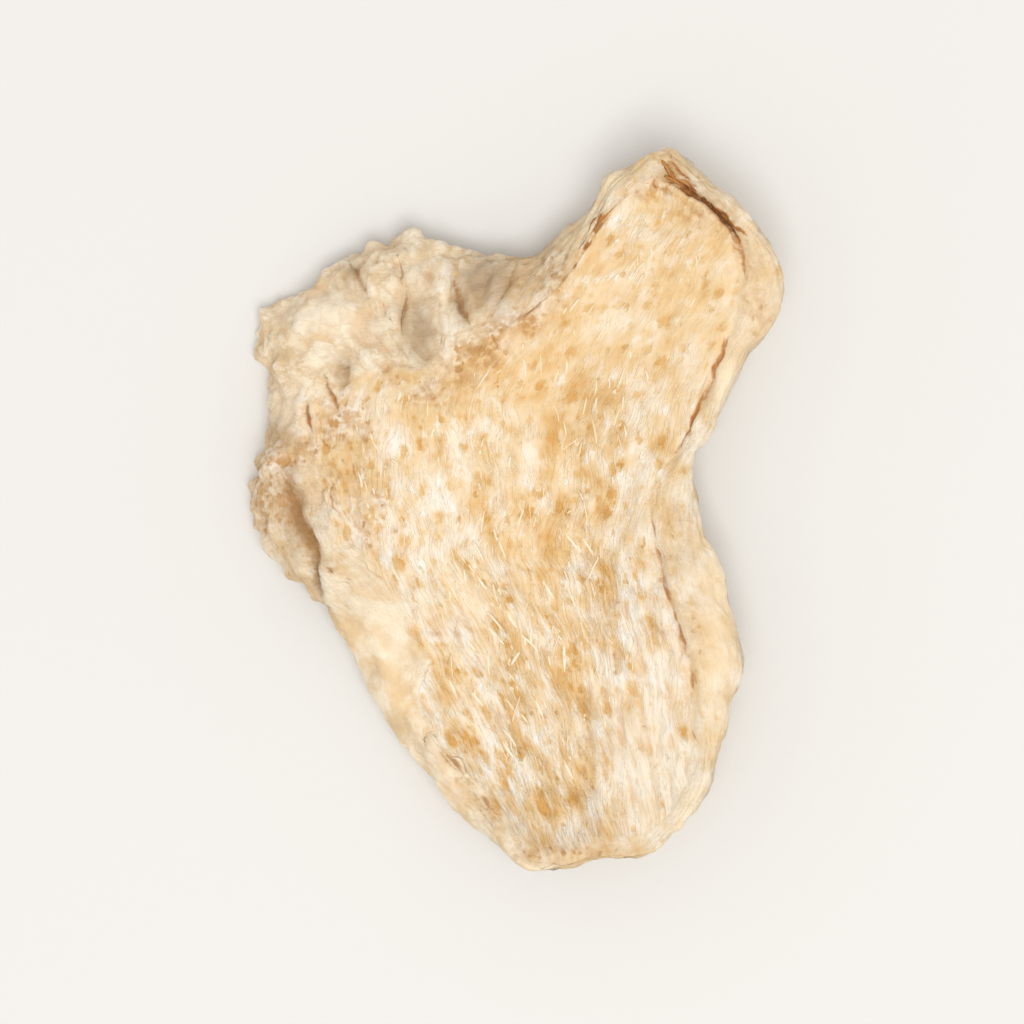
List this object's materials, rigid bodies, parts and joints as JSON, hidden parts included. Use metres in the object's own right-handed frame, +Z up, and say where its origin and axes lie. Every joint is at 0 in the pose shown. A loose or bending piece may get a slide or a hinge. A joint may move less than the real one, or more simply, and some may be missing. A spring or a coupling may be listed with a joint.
{
  "type": "dried ginger root slice",
  "caption": "Lengthwise slice of dried ginger root, warped in drying, with a lobed outline, a pale fibrous cut face and a rim of wrinkled skin.",
  "frame": {"origin": "middle of the slice's box in plan, on the surface that it rests on", "axes": "+Z up out of the showing cut face, +Y along the slice from its blunt foot to its lobes, +X towards the lobe that curls up"},
  "size_m": [0.0247, 0.0328, 0.0069],
  "materials": {
    "dried_ginger": "matte"
  },
  "bodies": {
    "root": {"ginger_slice": "dried_ginger"}
  },
  "joints": []
}
